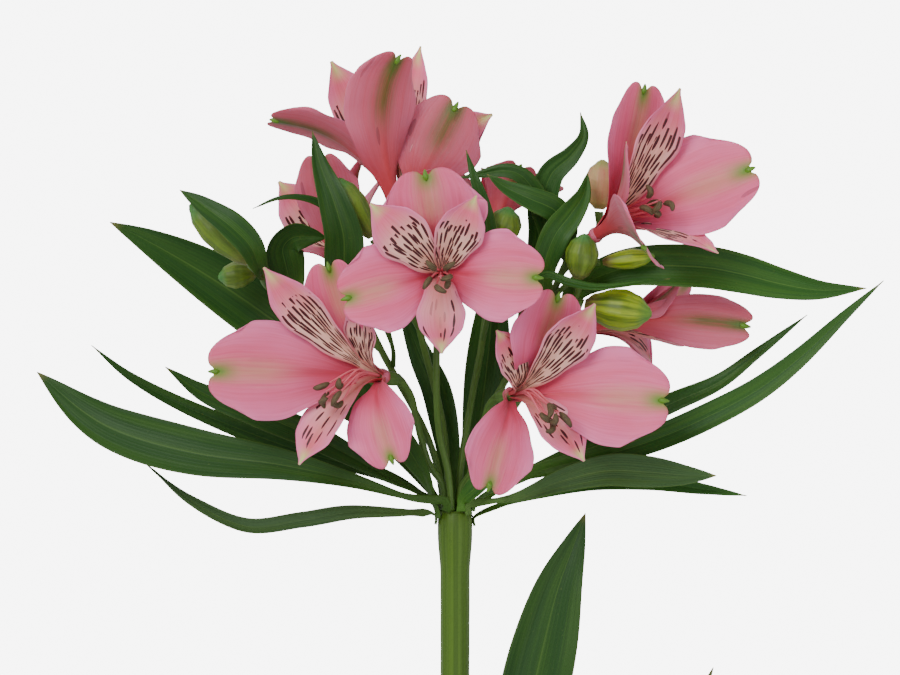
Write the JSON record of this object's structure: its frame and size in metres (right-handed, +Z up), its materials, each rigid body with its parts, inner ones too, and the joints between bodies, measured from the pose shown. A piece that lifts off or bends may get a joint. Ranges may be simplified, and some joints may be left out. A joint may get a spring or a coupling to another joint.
{
  "type": "alstroemeria stem",
  "caption": "Cut flower stem with a whorl of long leaves and an umbel of open pink lily-like blooms, buds and small leaves.",
  "frame": {"origin": "middle of the part's bounding box, on the surface the stem lies on", "axes": "+Y along the stem from its cut end towards the blooms, +Z up from the surface it lies on, +X across the head, to the right as the blooms are looked into"},
  "size_m": [0.2554, 0.431, 0.1017],
  "materials": {
    "stem": "satin",
    "leaf": "satin",
    "bud": "satin",
    "tepal": "satin",
    "anther": "matte"
  },
  "bodies": {
    "root": {"bract_dark": "leaf", "bract_left_hood": "leaf", "bract_left_thin": "leaf", "bract_left_upright": "leaf", "bract_over_bud_left": "leaf", "bract_right_broad": "leaf", "bract_right_clasping": "leaf", "bract_right_thin": "leaf", "bract_top_arch": "leaf", "bract_top_thin": "leaf", "bract_wavy": "leaf", "bud_left_brown": "bud", "bud_left_long": "bud", "bud_left_small": "bud", "bud_right_large": "bud", "bud_right_pink": "bud", "bud_right_small": "bud", "bud_right_thin": "bud", "bud_top_small": "bud", "ray_back_left": "stem", "ray_centre": "stem", "ray_left": "stem", "ray_right": "stem", "ray_right_back": "stem", "ray_top": "stem", "ray_top_back": "stem", "ray_upper_right": "stem", "stamens_back_left": "anther", "stamens_centre": "anther", "stamens_left": "anther", "stamens_right": "anther", "stamens_right_back": "anther", "stamens_top": "anther", "stamens_upper_right": "anther", "stem": "stem", "stem_leaf_left_low": "leaf", "stem_leaf_right": "leaf", "stem_leaf_right_low": "leaf", "tepals_back_left": "tepal", "tepals_centre": "tepal", "tepals_left": "tepal", "tepals_right": "tepal", "tepals_right_back": "tepal", "tepals_top": "tepal", "tepals_top_back": "tepal", "tepals_upper_right": "tepal", "whorl_leaf_curled": "leaf", "whorl_leaf_left_high": "leaf", "whorl_leaf_left_inner": "leaf", "whorl_leaf_left_long": "leaf", "whorl_leaf_left_low": "leaf", "whorl_leaf_left_middle": "leaf", "whorl_leaf_left_thin": "leaf", "whorl_leaf_right_broad": "leaf", "whorl_leaf_right_long": "leaf", "whorl_leaf_right_low": "leaf", "whorl_leaf_right_thin": "leaf", "whorl_leaf_upright_left": "leaf", "whorl_leaf_upright_right": "leaf"}
  },
  "joints": []
}
